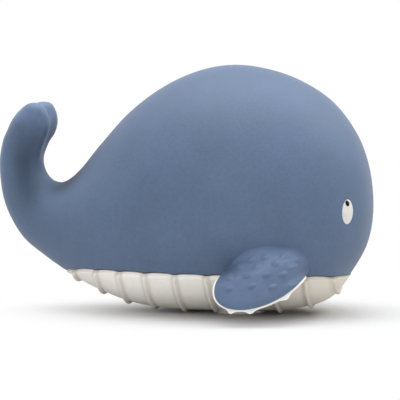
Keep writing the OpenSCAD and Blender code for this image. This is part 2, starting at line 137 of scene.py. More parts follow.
def colour(name, description, code):
    return FloatVectorProperty(
        name=name, description=description, default=linear(code), subtype="COLOR", min=0, max=1
    )


class WhaleBody(bpy.types.PropertyGroup):
    long: length("Length", "From the back of the tail to the nose", 0.120)
    high: length("Height", "From the floor to the top of the back", 0.0782)
    wide: length("Width", "Across the flanks", 0.072)
    wall: length("Wall", "Thickness of the blue rubber", 0.0022)
    notch_depth: length("Notch depth", "Notch between the fluke lobes", 0.003)
    notch_width: length("Notch width", "Width of that notch", 0.009)
    cup_depth: length("Cup depth", "Hollow down the front of the flukes", 0.002)
    seam_depth: length("Seam depth", "How far the blue skin dips at the belly's edge", 0.0007)


class WhaleBelly(bpy.types.PropertyGroup):
    line_rear: length("Line rear", "Height of the colour line at its rear end", 0.0144)
    line_middle: length("Line middle", "Height of the colour line at its middle", 0.0138)
    line_front: length("Line front", "Height of the colour line at its front end", 0.0134)
    line_drop: length("Line drop", "How much lower the colour line runs at its two ends", 0.0013)
    scallop: length("Scallop", "How far the line dips at each rib", 0.00035)
    lip: length("Lip", "How far the belly's edge stands proud of the blue skin", 0.0004)
    rib_height: length("Rib height", "Height of a rib above the skin", 0.001)
    rib_width: length("Rib width", "Width of a rib at its foot", 0.0016)
    wall: length("Wall", "Thickness of the white rubber", 0.0018)


class WhaleFlippers(bpy.types.PropertyGroup):
    long: length("Length", "Along the slope", 0.0298)
    wide: length("Width", "Across the slope", 0.0162)
    blade: length("Blade", "Thickness of the blue blade at its middle", 0.003)
    edge: length("Blade edge", "Thickness of the blue blade near its edge", 0.0009)
    backing: length("Backing", "Thickness of the white backing", 0.001)
    rim: length("Rim", "Width of the white rim below the blue edge", 0.0006)
    nub: length("Nub", "How far the nubs of the rim stand out", 0.0009)
    middle: length("Middle", "Height of the middle of a flipper", 0.0149)
    stand_off: length("Stand-off", "Gap between a flipper and the flank", 0.00035)
    slope: angle("Slope", "Rise to the front", 24)
    flare: amount("Flare", "Outward lean for each unit below the root", 0.4)
    bump_height: length("Bump height", "Height of a bump", 0.00065)
    bump_radius: length("Bump radius", "Radius of a bump at its foot", 0.0012)


class WhaleEyes(bpy.types.PropertyGroup):
    wide: length("Width", "Width of the white", 0.005)
    high: length("Height", "Height of the white", 0.0077)
    thick: length("Thickness", "How far the white stands out at its middle", 0.0008)
    pupil_wide: length("Pupil", "Width of the pupil", 0.0015)


class WhaleColours(bpy.types.PropertyGroup):
    blue: colour("Blue rubber", "Body, tail and flippers", "#52647F")
    white: colour("White rubber", "Belly and backs of the flippers", "#F6F3EC")
    eye: colour("Eye white", "Paint of the eye", "#D4D2CC")
    pupil: colour("Pupil", "Paint of the pupil", "#0F1013")
    plastic: colour("Squeaker plastic", "Cup and cap", "#DCD8CE")
    block: colour("Reed block", "Block and clamp of the reed", "#C9B27A")
    brass: colour("Reed brass", "Tongue of the reed", "#C9973F")
    floor: colour("Floor", "Studio floor", "#DCDCDC")


class WhaleStage(bpy.types.PropertyGroup):
    top_power: power("Top light", "Power of the overhead softbox", 20.5)
    front_power: power("Front light", "Power of the front fill", 4.5)
    head_power: power("Head light", "Power of the softbox on the head's side", 10)
    tail_power: power("Tail light", "Power of the softbox on the tail's side", 0.7)
    sky: amount("Sky", "Light from all round", 0.37)
    turn: angle("Turn", "Camera's turn towards the head", 9)
    rise: angle("Rise", "Camera's rise", 4)
    away: length("Distance", "Camera's distance", 0.7)
    lens: amount("Lens", "Focal length in millimetres", 198.4, least=1)


class WhaleToy(bpy.types.PropertyGroup):
    body: PointerProperty(type=WhaleBody)
    belly: PointerProperty(type=WhaleBelly)
    flippers: PointerProperty(type=WhaleFlippers)
    eyes: PointerProperty(type=WhaleEyes)
    colours: PointerProperty(type=WhaleColours)
    stage: PointerProperty(type=WhaleStage)
    rows: IntProperty(name="Rows", description="Rows of faces along the body", default=320, min=60)
    columns: IntProperty(name="Columns", description="Columns of faces round the body", default=112, min=24)


def ease(u):
    """Grows softly from 0 to 1 while u does."""
    v = np.clip(u, 0, 1)
    return v * v * (3 - 2 * v)


def ramp(u, start, way):
    """Grows softly from 0 at the start to 1 at the end of the way."""
    return ease((u - start) / way)


def rise(t, start, full):
    """Grows from 0 to 1 between two places on the way along the sections."""
    return ease((t / LAST - start) / (full - start))


def bell(u):
    """A soft hump, 1 at its middle."""
    return np.exp(-u * u)


def band(t, strength, middle, spread):
    """A soft band across the sections."""
    return strength * bell((t - middle) / spread)


def halve(test, low, high, times=34):
    """Bisects between arrays low and high, where test is true on the low side."""
    low, high = np.asarray(low, float), np.asarray(high, float)
    for _ in range(times):
        middle = (low + high) / 2
        below = test(middle)
        low, high = np.where(below, middle, low), np.where(below, high, middle)
    return (low + high) / 2


class Form:
    """The whale's skin in metres. The sections are numbered by t from the nose, and angle a runs round each
    one, from -90 degrees at the belly."""

    def __init__(self, toy):
        body, belly = toy.body, toy.belly
        rows = np.array(SECTION_SHARES) * [body.long, body.high, body.long, body.high, body.wide / 2]
        # Each end has one section more, the mirror image of its neighbour
        ahead, behind = (row[[2, 3, 0, 1, 4]] * [1, 1, 1, 1, -1] for row in (rows[1], rows[-2]))
        self.rows = np.vstack([ahead, rows, behind])
        self.body, self.belly = body, belly
        self.ribs = np.array(RIB_SHARES) * body.long
        self.line_ends = [SECTION_SHARES[i][2] * body.long for i in (LINE_REAR, LINE_FRONT)]
        self.front = float(halve(self.reaches_line, *FRONT_TIP_SEARCH))
        self.rear = float(halve(self.reaches_line, *REAR_TIP_SEARCH))

    def reaches_line(self, t):
        """Whether the lowest point of a section is on or below the colour line."""
        p = self.point(t, np.full_like(t, -math.pi / 2))
        return p[..., 2] <= self.line(p[..., 0])

    def section(self, t):
        """Upper x, upper z, lower x, lower z and half width, on smooth curves through the sections."""
        t = np.asarray(t, float)
        i = np.clip(np.floor(t).astype(int), 0, LAST - 1)
        u = (t - i)[..., None]
        a, b, c, d = (self.rows[i + k] for k in range(4))
        slope, bend, twist = c - a, 2 * a - 5 * b + 4 * c - d, 3 * b - a - 3 * c + d
        return (2 * b + slope * u + bend * u**2 + twist * u**3) / 2

    def point(self, t, a):
        """The skin's point at t and a, with the stalk's dents and the flukes' hollow and notch."""
        body = self.body
        s = np.moveaxis(self.section(t), -1, 0)
        up = np.sin(a)
        cup = rise(t, *CUP_WAY)
        dent = rise(t, *DENT_WAY[:2]) - rise(t, *DENT_WAY[2:])
        dent = DENT_SHARE * dent * bell((np.arcsin(np.clip(up, -1, 1)) - DENT_ANGLE) / DENT_SPREAD)
        front = np.where(up > 0, np.maximum(up, TINY_SINE) ** (1 - SQUARE_SHARE * cup), up)
        y = s[4] * np.cos(a) * (1 - dent)
        hollow = body.cup_depth * cup * bell(np.cos(a) / CUP_SPREAD_SHARE) * np.maximum(0, up)
        notch = body.notch_depth * rise(t, *NOTCH_WAY) * bell(2 * y / body.notch_width)
        x = (s[0] + s[2]) / 2 + (s[0] - s[2]) / 2 * front - hollow
        z = (s[1] + s[3]) / 2 + (s[1] - s[3]) / 2 * up - notch
        return np.stack([x, y, z], -1)

    def normal(self, t, a):
        """The skin's outward direction at t and a."""
        step, turn = 0.02, math.radians(1)
        t = np.clip(t, step, LAST - step)
        across = self.point(t, a + turn) - self.point(t, a - turn)
        n = np.cross(across, self.point(t - step, a) - self.point(t + step, a))
        return n / np.maximum(np.linalg.norm(n, axis=-1, keepdims=True), TINY_LENGTH)

    def line(self, x):
        """Height of the colour line, which dips a little at each rib."""
        belly = self.belly
        rear, front = self.line_ends
        u = 2 * (x - rear) / (front - rear) - 1
        bow = (belly.line_front + belly.line_rear) / 2 - belly.line_middle
        plain = belly.line_middle + (belly.line_front - belly.line_rear) / 2 * u + bow * u * u
        dips = bell((np.asarray(x)[..., None] - self.ribs) / DIP_HALF_WIDTH).sum(-1)
        return plain - belly.line_drop * u**LINE_END_POWER + belly.scallop * (DIP_RAISE_SHARE - dips)

    def line_angle(self, t):
        """Angle at which each section meets the colour line, on the left side."""

        def under(a):
            p = self.point(t, a)
            return p[..., 2] < self.line(p[..., 0])

        a = halve(under, np.full_like(t, -math.pi / 2), np.zeros_like(t))
        return np.where((t > self.front) & (t < self.rear), a, -math.pi / 2)

    def flank(self, x, z):
        """Half width of the body at x and z."""
        ends = [np.full_like(x, t) for t in FLANK_SEARCH]
        t = halve(lambda m: self.section(m)[..., 2] > x, *ends)
        s = np.moveaxis(self.section(t), -1, 0)
        v = (2 * z - s[1] - s[3]) / (s[1] - s[3])
        return s[4] * np.sqrt(np.maximum(0, 1 - v * v))


def grid_faces(rows, columns):
    """Quads of a grid whose points are numbered row by row."""
    i, j = np.meshgrid(np.arange(rows - 1), np.arange(columns - 1), indexing="ij")
    a = (i * columns + j).ravel()
    return np.stack([a, a + columns, a + columns + 1, a + 1], -1).tolist()


def rings(count, spokes, scale):
    """Radius, u and v of rings of points in an outline, closer together near its edge. scale gives the
    outline's reach along u and v at each spoke."""
    r = np.sin(np.linspace(0, math.pi / 2, count))[:, None] * np.ones(spokes)
    spoke = np.linspace(0, 2 * math.pi, spokes, endpoint=False)
    along, across = scale(spoke)
    return r, r * along * np.cos(spoke), r * across * np.sin(spoke)


def lens_mesh(outer, inner):
    """Points and faces of a closed lens. Each side of it is a middle point and rings of points, and both
    sides end on the outer side's last ring."""
    outer_rings, spokes = outer.shape[0] - 1, outer.shape[1]
    inner_rings = inner.shape[0] - 1
    points = [outer[0, :1], outer[1:].reshape(-1, 3), inner[0, :1], inner[1:-1].reshape(-1, 3)]
    second = 1 + outer_rings * spokes

    def number(side, ring, spoke):
        if ring == 0:
            return second if side else 0
        if side and ring < inner_rings:
            return second + 1 + (ring - 1) * spokes + spoke % spokes
        return 1 + (outer_rings - 1 if side else ring - 1) * spokes + spoke % spokes

    faces = []
    for side, count in ((0, outer_rings), (1, inner_rings)):
        for ring in range(count):
            for spoke in range(spokes):
                quad = [number(side, ring, spoke), number(side, ring + 1, spoke)]
                quad += [number(side, ring + 1, spoke + 1), number(side, ring, spoke + 1)]
                quad = list(dict.fromkeys(quad))
                faces.append(quad[::-1] if side else quad)
    return np.vstack(points), faces


def on_outer(values, count, rest):
    """Values on the rings of a lens's outer side, as an attribute of all its points."""
    whole = np.full(count, rest)
    whole[: 1 + values[1:].size] = np.concatenate([values[0, :1], values[1:].ravel()])
    return whole


def crowded(columns, share):
    """Shares of the way across a piece, closer together towards its two edges."""
    q = np.linspace(0, 1, columns + 1)
    return q - share * np.sin(2 * math.pi * q) / (2 * math.pi)


def edge_distance(points):
    """Distance of each point of a grid from the nearer end of its row."""
    steps = np.linalg.norm(np.diff(points, axis=1), axis=2)
    along = np.concatenate([np.zeros((len(points), 1)), np.cumsum(steps, 1)], 1)
    return np.minimum(along, along[:, -1:] - along)


def smooth(mesh):
    mesh.polygons.foreach_set("use_smooth", np.ones(len(mesh.polygons), bool))


@contextmanager
def edited(mesh):
    """Opens a mesh for changes, and writes them back at the end."""
    shape = bmesh.new()
    shape.from_mesh(mesh)
    yield shape
    shape.to_mesh(mesh)
    shape.free()


def piece(name, points, faces, material=None, attributes=None, closed=False, merge=False):
    """A smooth mesh object at the origin. A closed one is turned so that its faces look outwards."""
    mesh = bpy.data.meshes.new(name)
    mesh.from_pydata([tuple(p) for p in points], [], faces)
    for key, values in (attributes or {}).items():
        mesh.attributes.new(key, "FLOAT", "POINT").data.foreach_set("value", np.asarray(values, np.float32))
    if closed or merge:
        with edited(mesh) as shape:
            if merge:
                bmesh.ops.remove_doubles(shape, verts=shape.verts, dist=MERGE_GAP)
            if closed and shape.calc_volume(signed=True) < 0:
                bmesh.ops.reverse_faces(shape, faces=shape.faces)
    if material:
        mesh.materials.append(material)
    smooth(mesh)
    obj = bpy.data.objects.new(name, mesh)
    bpy.context.scene.collection.objects.link(obj)
    return obj


def settle(obj):
    """Turns what the modifiers give into the object's own plain mesh."""
    graph = bpy.context.evaluated_depsgraph_get()
    made = obj.evaluated_get(graph)
    mesh = bpy.data.meshes.new_from_object(made, preserve_all_data_layers=True, depsgraph=graph)
    obj.modifiers.clear()
    obj.data = mesh
    smooth(mesh)
    return obj


def mirrored(points):
    return points * np.array([1, -1, 1])


# The left side as it is made, and the right side as its mirror image
SIDES = (("left", np.array), ("right", mirrored))


def add(tree, kind, sockets=None, **settings):
    """Adds a node with its settings. Each socket takes a value, or a (node, output) pair as a link."""
    node = tree.nodes.new(kind)
    for key, value in settings.items():
        setattr(node, key, value)
    for key, value in (sockets or {}).items():
        if isinstance(value, tuple) and isinstance(value[0], bpy.types.Node):
            tree.links.new(value[0].outputs[value[1]], node.inputs[key])
        else:
            node.inputs[key].default_value = value
    return node


def rgba(colour):
    return (*colour, 1)


def tint(colour, share):
    return (*[min(1, c * share) for c in colour], 1)


# Sizes of the rubber's clouds, patches of painted light and grain in millimetres, and the grain's share
# in the colour
CLOUD_MM, PATCH_MM, GRAIN_MM, GRAIN_SHARE = 16, 5, 0.9, 0.52
# The part of a noise's range that changes a colour, and the wider part that changes a roughness
COLOUR_LOW, COLOUR_HIGH = 0.35, 0.65
GLOSS_LOW, GLOSS_HIGH = 0.3, 0.7
# How much of its painted light a patch shows at least and at most, and how much paler painted light makes
# the rubber
PATCH_LEAST, PATCH_MOST, PAINTED_LIGHT_TINT = 0.6, 1.3, 1.4
# Roughness of the rubber's skin at least and at most, and in hollows
SKIN_LEAST_ROUGH, SKIN_MOST_ROUGH, HOLLOW_ROUGH = 0.52, 0.66, 0.95
# Darkest and lightest clouds of the blue and the white rubber, in shares of their colours
BLUE_CLOUDS, WHITE_CLOUDS = (0.9, 1.1), (0.97, 1.02)
# Colours of painted shade on blue and on white, in shares of their colours. On white the same colour also
# gives the darker tone at the foot of each rib and low down on the belly
BLUE_SHADE_SHARES, WHITE_SHADE_SHARES = (0.25, 0.25, 0.25), (0.74, 0.70, 0.65)
# Darkest and lightest speckle of a hard finish, and its smoothest and roughest, in shares
SPECKLE_DARK, SPECKLE_LIGHT, SPECKLE_SMOOTH, SPECKLE_ROUGH = 0.95, 1.04, 0.9, 1.1
# How sharply a rib or bump rounds over
BEAD_POWER = 1.5


def new_material(name):
    made = bpy.data.materials.new(name)
    made.use_nodes = True
    made.node_tree.nodes.clear()
    return made, made.node_tree


def matt_rubber(name, colour, clouds, shade_shares):
    """Moulded natural rubber: a soft matt skin with a powdery sheen, faint clouds in its colour and a fine
    grain. Where the hollow mark is set it is dull and darkened with painted shade, and where the mark of
    painted light is set it is paler in patches. The real grain is about 0.1 mm. It is drawn coarser so that
    it shows."""
    made, tree = new_material(name)
    darkest, lightest = (tint(colour, share) for share in clouds)
    shaded = rgba([c * share for c, share in zip(colour, shade_shares)])
    place = add(tree, "ShaderNodeTexCoord")
    cloud, grain, patch = (
        add(tree, "ShaderNodeTexNoise", {"Vector": (place, "Object"), "Scale": 1000 / mm, "Detail": detail})
        for mm, detail in ((CLOUD_MM, 3.0), (GRAIN_MM, 2.0), (PATCH_MM, 3.0))
    )
    both = add(tree, "ShaderNodeMix", {0: GRAIN_SHARE, 2: (cloud, 0), 3: (grain, 0)}, data_type="FLOAT")
    spread = add(tree, "ShaderNodeMapRange", {0: (both, 0), 1: COLOUR_LOW, 2: COLOUR_HIGH})
    paint = add(tree, "ShaderNodeMix", {0: (spread, 0), 6: darkest, 7: lightest}, data_type="RGBA")
    # Painted light makes the rubber paler in patches, and painted shade darkens it where the hollow mark is
    # set
    worn = add(tree, "ShaderNodeAttribute", attribute_name="worn")
    patch = add(
        tree,
        "ShaderNodeMapRange",
        {0: (patch, 0), 1: COLOUR_LOW, 2: COLOUR_HIGH, 3: PATCH_LEAST, 4: PATCH_MOST},
    )
    worn = add(tree, "ShaderNodeMath", {0: (worn, "Fac"), 1: (patch, 0)}, operation="MULTIPLY")
    pale = tint(colour, PAINTED_LIGHT_TINT)
    paint = add(tree, "ShaderNodeMix", {0: (worn, 0), 6: (paint, 2), 7: pale}, data_type="RGBA")
    hollow = add(tree, "ShaderNodeAttribute", attribute_name="hollow")
    paint = add(tree, "ShaderNodeMix", {0: (hollow, "Fac"), 6: (paint, 2), 7: shaded}, data_type="RGBA")
    rough = add(
        tree,
        "ShaderNodeMapRange",
        {0: (grain, 0), 1: GLOSS_LOW, 2: GLOSS_HIGH, 3: SKIN_LEAST_ROUGH, 4: SKIN_MOST_ROUGH},
    )
    rough = add(
        tree, "ShaderNodeMix", {0: (hollow, "Fac"), 2: (rough, 0), 3: HOLLOW_ROUGH}, data_type="FLOAT"
    )
    bump = add(tree, "ShaderNodeBump", {"Height": (grain, 0), "Strength": 0.12, "Distance": 0.0003})
    shader = add(
        tree,
        "ShaderNodeBsdfPrincipled",
        {
            "Base Color": (paint, 2),
            "Roughness": (rough, 0),
            "Normal": (bump, 0),
            "IOR": 1.52,
            "Specular IOR Level": 0.3,
            "Sheen Weight": 0.08,
            "Sheen Roughness": 0.5,
        },
    )
    add(tree, "ShaderNodeOutputMaterial", {"Surface": (shader, 0)})
    return made


def hard_finish(name, colour, roughness, speckle_mm, metal=0.0, ior=1.5):
    """A paint, plastic or metal with a faint speckle of that size in its colour and its gloss."""
    made, tree = new_material(name)
    place = add(tree, "ShaderNodeTexCoord")
    speckle = add(
        tree, "ShaderNodeTexNoise", {"Vector": (place, "Object"), "Scale": 1000 / speckle_mm, "Detail": 2.0}
    )
    spread = add(tree, "ShaderNodeMapRange", {0: (speckle, 0), 1: COLOUR_LOW, 2: COLOUR_HIGH})
    dark, light = tint(colour, SPECKLE_DARK), tint(colour, SPECKLE_LIGHT)
    paint = add(tree, "ShaderNodeMix", {0: (spread, 0), 6: dark, 7: light}, data_type="RGBA")
    least, most = roughness * SPECKLE_SMOOTH, roughness * SPECKLE_ROUGH
    rough = add(
        tree, "ShaderNodeMapRange", {0: (speckle, 0), 1: GLOSS_LOW, 2: GLOSS_HIGH, 3: least, 4: most}
    )
    bump = add(tree, "ShaderNodeBump", {"Height": (speckle, 0), "Strength": 0.06, "Distance": 0.0002})
    shader = add(
        tree,
        "ShaderNodeBsdfPrincipled",
        {
            "Base Color": (paint, 2),
            "Roughness": (rough, 0),
            "Normal": (bump, 0),
            "Metallic": metal,
            "IOR": ior,
        },
    )
    add(tree, "ShaderNodeOutputMaterial", {"Surface": (shader, 0)})
    return made


def shared(name, make):
    """The material of that name, made once."""
    return bpy.data.materials.get(name) or make(name)


def blue_rubber(colours):
    return shared(
        "blue natural rubber", lambda name: matt_rubber(name, colours.blue, BLUE_CLOUDS, BLUE_SHADE_SHARES)
    )


def white_rubber(colours):
    return shared(
        "white natural rubber", lambda name: matt_rubber(name, colours.white, WHITE_CLOUDS, WHITE_SHADE_SHARES)
    )


def relief_tree(name, attribute, fade, floor):
    """A node tree that raises round-topped ribs or bumps from a surface, which holds its distance from the
    nearest one in an attribute. With a fade they sink away at the surface's edge, and with floor they stop
    at the floor."""
    tree = bpy.data.node_groups.new(name, "GeometryNodeTree")
    tree.interface.new_socket("Geometry", in_out="OUTPUT", socket_type="NodeSocketGeometry")
    for label, kind in (
        ("Geometry", "NodeSocketGeometry"),
        ("Height", "NodeSocketFloat"),
        ("Half Width", "NodeSocketFloat"),
        ("Finish", "NodeSocketMaterial"),
    ):
        tree.interface.new_socket(label, in_out="INPUT", socket_type=kind)
    given = add(tree, "NodeGroupInput")
    gap = add(tree, "GeometryNodeInputNamedAttribute", {"Name": attribute}, data_type="FLOAT")
    share = add(
        tree, "ShaderNodeMath", {0: (gap, 0), 1: (given, "Half Width")}, operation="DIVIDE", use_clamp=True
    )
    square = add(tree, "ShaderNodeMath", {0: (share, 0), 1: (share, 0)}, operation="MULTIPLY")
    rest = add(tree, "ShaderNodeMath", {0: 1.0, 1: (square, 0)}, operation="SUBTRACT")
    bead = add(tree, "ShaderNodeMath", {0: (rest, 0), 1: BEAD_POWER}, operation="POWER")
    raised = add(tree, "ShaderNodeMath", {0: (bead, 0), 1: (given, "Height")}, operation="MULTIPLY")
    if fade:
        near = add(tree, "GeometryNodeInputNamedAttribute", {"Name": "edge_gap"}, data_type="FLOAT")
        kept = add(
            tree,
            "ShaderNodeMapRange",
            {0: (near, 0), 1: 0.0, 2: fade, 3: 0.0, 4: 1.0},
            interpolation_type="SMOOTHSTEP",
        )
        raised = add(tree, "ShaderNodeMath", {0: (raised, 0), 1: (kept, 0)}, operation="MULTIPLY")
    outward = add(tree, "GeometryNodeInputNormal")
    offset = add(tree, "ShaderNodeVectorMath", {0: (outward, 0), "Scale": (raised, 0)}, operation="SCALE")
    made = add(tree, "GeometryNodeSetPosition", {"Geometry": (given, "Geometry"), "Offset": (offset, 0)})
    if floor:
        place = add(tree, "GeometryNodeInputPosition")
        parts = add(tree, "ShaderNodeSeparateXYZ", {0: (place, 0)})
        level = add(tree, "ShaderNodeMath", {0: (parts, 2), 1: 0.0}, operation="MAXIMUM")
        flat = add(tree, "ShaderNodeCombineXYZ", {0: (parts, 0), 1: (parts, 1), 2: (level, 0)})
        made = add(tree, "GeometryNodeSetPosition", {"Geometry": (made, 0), "Position": (flat, 0)})
    real = add(tree, "GeometryNodeRealizeInstances", {0: (made, 0)})
    done = add(tree, "GeometryNodeSetMaterial", {"Geometry": (real, 0), "Material": (given, "Finish")})
    add(tree, "NodeGroupOutput", {0: (done, 0)})
    return tree


def raise_relief(obj, tree, height, half_width, material):
    """Runs a relief tree on a piece."""
    modifier = obj.modifiers.new(tree.name, "NODES")
    modifier.node_group = tree
    values = {"Height": height, "Half Width": half_width, "Finish": material}
    for item in tree.interface.items_tree:
        if item.in_out == "INPUT" and item.name in values:
            modifier[item.identifier] = values[item.name]


def thicken(obj, wall, share=None):
    """Gives a skin its wall on the inside, thinner where the attribute of that name says so."""
    modifier = obj.modifiers.new("wall", "SOLIDIFY")
    if share:
        group = obj.vertex_groups.new(name=share)
        for number, value in enumerate(obj.data.attributes[share].data):
            group.add([number], value.value, "REPLACE")
        modifier.vertex_group = share
    modifier.thickness = wall
    modifier.offset = -1
    return obj


# The skin's rows are divided by these ahead of the belly, along it and behind it
NOSE_ROWS, BELLY_ROWS, TAIL_ROWS = 9, 2, 3
# How much the columns of the skin and of the belly crowd towards the colour line
SKIN_CROWDING, BELLY_CROWDING = 0.85, 0.8
# Half width of the skin's dip into the seam and of the painted shadow in that groove, and the opening at
# which the seam is full
SEAM_HALF_WIDTH, SEAM_SHADOW_HALF_WIDTH, SEAM_OPENING = 0.0007, 0.0006, 0.004
# Bands of painted shade in the saddle between back and tail, at the tail's foot and on the stalk, and of
# painted light behind the stalk: strength, middle and spread in sections
SADDLE_SHADE_BAND, TAIL_FOOT_SHADE_BAND, STALK_SHADE_BAND = (0.9, 11.4, 1.5), (0.4, 13.6, 1.2), (0.58, 15.2, 1.6)
STALK_BACK_LIGHT_BAND = (0.5, 15.5, 1.5)
# Angles in radians above the side where the saddle's painted shade and the front of the flukes, which is
# spared painted light, start, and below it where the painted light on the back of the stalk starts, each
# with the angle over which it grows
SADDLE_ANGLES, FLUKE_FRONT_ANGLES, STALK_BACK_ANGLES = (0.55, 0.6), (0.7, 0.4), (0.6, 0.6)
# Middle and spread of the painted shade at the tail's foot, in radians above the side
TAIL_FOOT_ANGLE, TAIL_FOOT_SPREAD = 0.4, 0.7
# Painted light on the flukes, the share of it that their front is spared, and the sections over which it
# grows
FLUKE_LIGHT, FLUKE_FRONT_SHARE, FLUKE_SECTIONS = 0.8, 0.8, (17, 1.5)
# How much thinner the skin is in the tail, and where on the way along the sections it gets thinner
TAIL_THINNING, THINNING_WAY = 0.9, (0.62, 0.7)
# Reach of the smoothing round the point where the skin closes, and how often and how strongly it is done
TIP_REACH, TIP_ROUNDS, TIP_FACTOR = 0.0035, 40, 0.5


def skin_shading(t, a, seam):
    """How much painted shade and painted light the skin gets. Painted shade darkens the groove of the seam,
    the saddle between back and tail and the sides of the stalk. Painted light makes the flukes and the back
    of the stalk paler."""
    up = np.arcsin(np.clip(np.sin(a), -1, 1))
    saddle = band(t, *SADDLE_SHADE_BAND) * ramp(up, *SADDLE_ANGLES)
    saddle = saddle + band(t, *TAIL_FOOT_SHADE_BAND) * bell((up - TAIL_FOOT_ANGLE) / TAIL_FOOT_SPREAD)
    stalk = band(t, *STALK_SHADE_BAND) * bell((up - DENT_ANGLE) / DENT_SPREAD)
    hollow = np.clip(np.maximum(seam, saddle + stalk), 0, 1)
    spared = FLUKE_FRONT_SHARE * ramp(up, *FLUKE_FRONT_ANGLES)
    worn = FLUKE_LIGHT * ramp(t, *FLUKE_SECTIONS) * (1 - spared)
    worn = worn + band(t, *STALK_BACK_LIGHT_BAND) * ramp(-up, *STALK_BACK_ANGLES)
    return hollow, worn


class WHALE_OT_skin(bpy.types.Operator):
    """Make the blue skin of the body and the tail in one piece"""

    bl_idname = "whale.skin"
    bl_label = "Skin"

    def execute(self, context):
        toy = context.scene.whale_toy
        form = Form(toy)
        # Rows crowd towards the belly's two tips, and columns towards the colour line
        middle = np.linspace(0, 1, toy.rows // BELLY_ROWS)
        middle = (middle + (1 - np.cos(math.pi * middle)) / 2) / 2
        t = np.concatenate([
            np.linspace(0, form.front, toy.rows // NOSE_ROWS, endpoint=False),
            form.front + (form.rear - form.front) * middle,
            np.linspace(form.rear, LAST, toy.rows // TAIL_ROWS)[1:],
        ])
        start = form.line_angle(t)[:, None]
        a = start + (math.pi - 2 * start) * crowded(toy.columns, SKIN_CROWDING)
        t = np.broadcast_to(t[:, None], a.shape)
        points = form.point(t, a)
        edge_gap = edge_distance(points)
        # The edge dips into the seam along the colour line
        opened = ease(np.linalg.norm(points[:, :1] - points[:, -1:], axis=2) / SEAM_OPENING)
        dip = toy.body.seam_depth * opened * bell(edge_gap / SEAM_HALF_WIDTH)
        points = points - dip[..., None] * form.normal(t, a)
        # Painted shade in the seam's groove, the saddle and down the stalk, and painted light on the flukes
        # and the back of the stalk
        hollow, worn = skin_shading(t, a, opened * bell(edge_gap / SEAM_SHADOW_HALF_WIDTH))
        skin = piece(
            "whale_skin",
            points.reshape(-1, 3),
            grid_faces(*a.shape),
            blue_rubber(toy.colours),
            attributes={
                "hollow": hollow.ravel(),
                "worn": worn.ravel(),
                "wall_share": 1 - TAIL_THINNING * rise(t, *THINNING_WAY).ravel(),
            },
            merge=True,
        )
        # The skin closes in one point between the flukes, which is smoothed like the rest
        tip = Vector(form.point(np.array(float(LAST)), np.array(0.0)))
        every_way = {"use_axis_x": True, "use_axis_y": True, "use_axis_z": True}
        with edited(skin.data) as shape:
            near = [v for v in shape.verts if (v.co - tip).length < TIP_REACH]
            for _ in range(TIP_ROUNDS):
                bmesh.ops.smooth_vert(shape, verts=near, factor=TIP_FACTOR, **every_way)
        settle(thicken(skin, toy.body.wall, "wall_share"))
        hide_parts("body_shell", "tail")
        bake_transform(skin)
        return {"FINISHED"}


# Samples along the bottom of the belly, the sections they leave out at each tip, and the belly's columns
BELLY_SAMPLES, TIP_SECTIONS, BELLY_COLUMNS = 1500, 0.01, 88
# Width of the rounding of the belly's lip, and the share of the lip that is lost again over the fall
LIP_ROUNDING, LIP_FALL_SHARE, LIP_FALL = 0.00045, 0.5, 0.005
# Distance from the belly's edge over which the ribs grow
RIB_FADE = 0.0012
# Darker tone at the foot of a rib: its strength, its middle in shares of the rib's width, and its half
# width
RIB_FOOT_DARKENING, RIB_FOOT_SHARE, RIB_FOOT_HALF_WIDTH = 0.65, 0.52, 0.0006
# Painted shade towards the front and rear ends: strength, and where it starts and over how much of the way
# from the middle to that end it grows
FRONT_SHADE, FRONT_SHADE_WAY, REAR_SHADE, REAR_SHADE_WAY = 0.85, (0.3, 0.5), 0.25, (0.5, 0.5)
# Darker tone low down: strength, and the height at which it starts
LOW_DARKENING, LOW_DARKENING_HEIGHT = 0.12, 0.012
# The squeaker's axis in shares of the length, and the radius of the hole in the belly that its boss fills
SQUEAKER_SHARE, BOSS_HOLE_RADIUS = 0.146, 0.0075
# The boss's outline, radius and height in millimetres, and the sides of its rings
BOSS_OUTLINE_MM = (
    (5.85, 1.75), (6.95, 1.75), (6.95, 0.2), (7.02, 0.06), (7.15, 0.0), (7.7, 0.0), (7.9, 0.06),
    (7.98, 0.2), (8.0, 0.4), (8.1, 0.9), (8.5, 1.5), (8.6, 2.2), (8.0, 5.0), (5.85, 5.0),
)
BOSS_SIDES = 96


def belly_shade(rib_gap, rib_width, ahead, z):
    """Painted shade towards both ends, most of all the front one, and a darker tone at the foot of each rib
    and low down.
    """
    foot = bell((rib_gap - rib_width * RIB_FOOT_SHARE) / RIB_FOOT_HALF_WIDTH) * RIB_FOOT_DARKENING
    ends = FRONT_SHADE * ramp(ahead, *FRONT_SHADE_WAY) + REAR_SHADE * ramp(-ahead, *REAR_SHADE_WAY)
    return np.clip(foot + LOW_DARKENING * ease(1 - z / LOW_DARKENING_HEIGHT) + ends, 0, 1)


def boss_piece(axis_x, material):
    """A turned ring with rounded lower edges, a recess for the squeaker's flange and a bore for its cup."""
    outline = np.array(BOSS_OUTLINE_MM) / 1000
    turns = np.linspace(0, 2 * math.pi, BOSS_SIDES + 1)[:-1]
    ring = np.stack([
        axis_x + outline[:, :1] * np.cos(turns),
        outline[:, :1] * np.sin(turns),
        np.broadcast_to(outline[:, 1:], (len(outline), BOSS_SIDES)),
    ], -1)
    whole = np.concatenate([ring, ring[:1]])
    whole = np.concatenate([whole, whole[:, :1]], 1)
    faces = grid_faces(*whole.shape[:2])
    return piece("boss", whole.reshape(-1, 3), faces, material, closed=True, merge=True)


